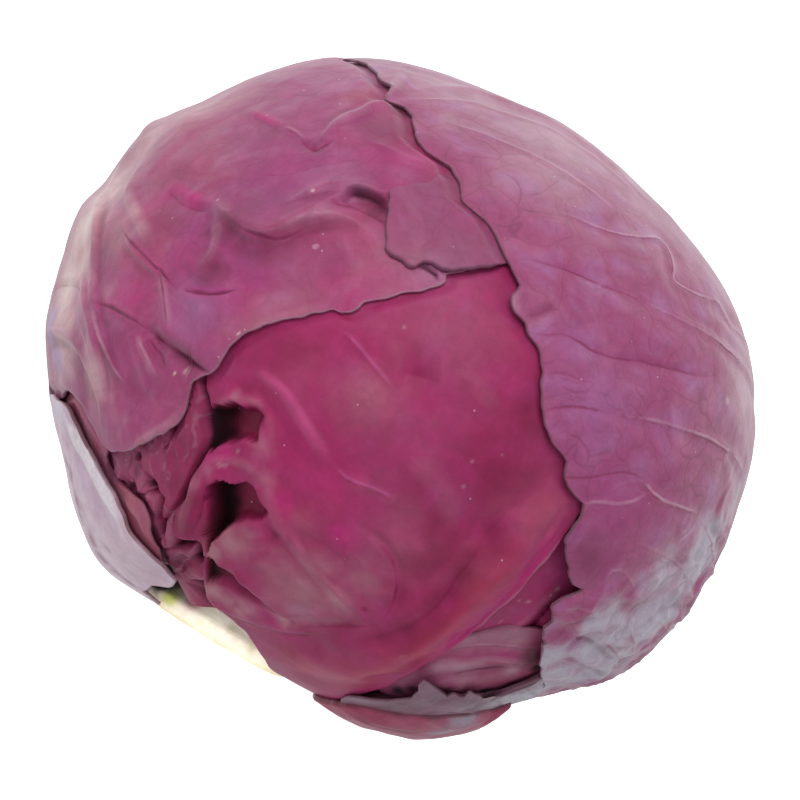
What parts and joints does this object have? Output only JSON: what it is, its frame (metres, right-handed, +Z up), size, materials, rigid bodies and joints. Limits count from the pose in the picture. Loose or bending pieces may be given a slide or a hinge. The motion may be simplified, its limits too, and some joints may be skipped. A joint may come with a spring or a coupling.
{
  "type": "red cabbage head",
  "caption": "Dense round red cabbage head with overlapping wrapper leaves, torn and ruffled leaf edges and a short flat-cut stem that it stands on.",
  "frame": {"origin": "centre of the stem's flat cut face, which the head stands on", "axes": "+Z up along the stem to the crown, -Y to the torn front with the pleated pockets, +X to the outermost wrapper leaf"},
  "size_m": [0.1519, 0.1474, 0.1291],
  "materials": {
    "wrapper_leaf": "fresh waxy leaf, dusty mauve with a grey bloom",
    "inner_leaf": "fresh smooth leaf, deep crimson purple, softly glossy",
    "pale_leaf": "pale lavender leaf back with a white midrib and dry brown edge",
    "cut_stem": "cut cabbage stem, pale cream and fibrous"
  },
  "bodies": {
    "root": {"cut_stem": "cut_stem", "inner_head": "inner_leaf", "front_leaf": "inner_leaf", "lower_inner_leaf": "inner_leaf", "left_inner_leaf": "inner_leaf", "bottom_leaf": "inner_leaf", "top_leaf": "wrapper_leaf", "back_leaf": "wrapper_leaf", "right_leaf": "wrapper_leaf", "left_outer_leaf": "pale_leaf"}
  },
  "joints": []
}
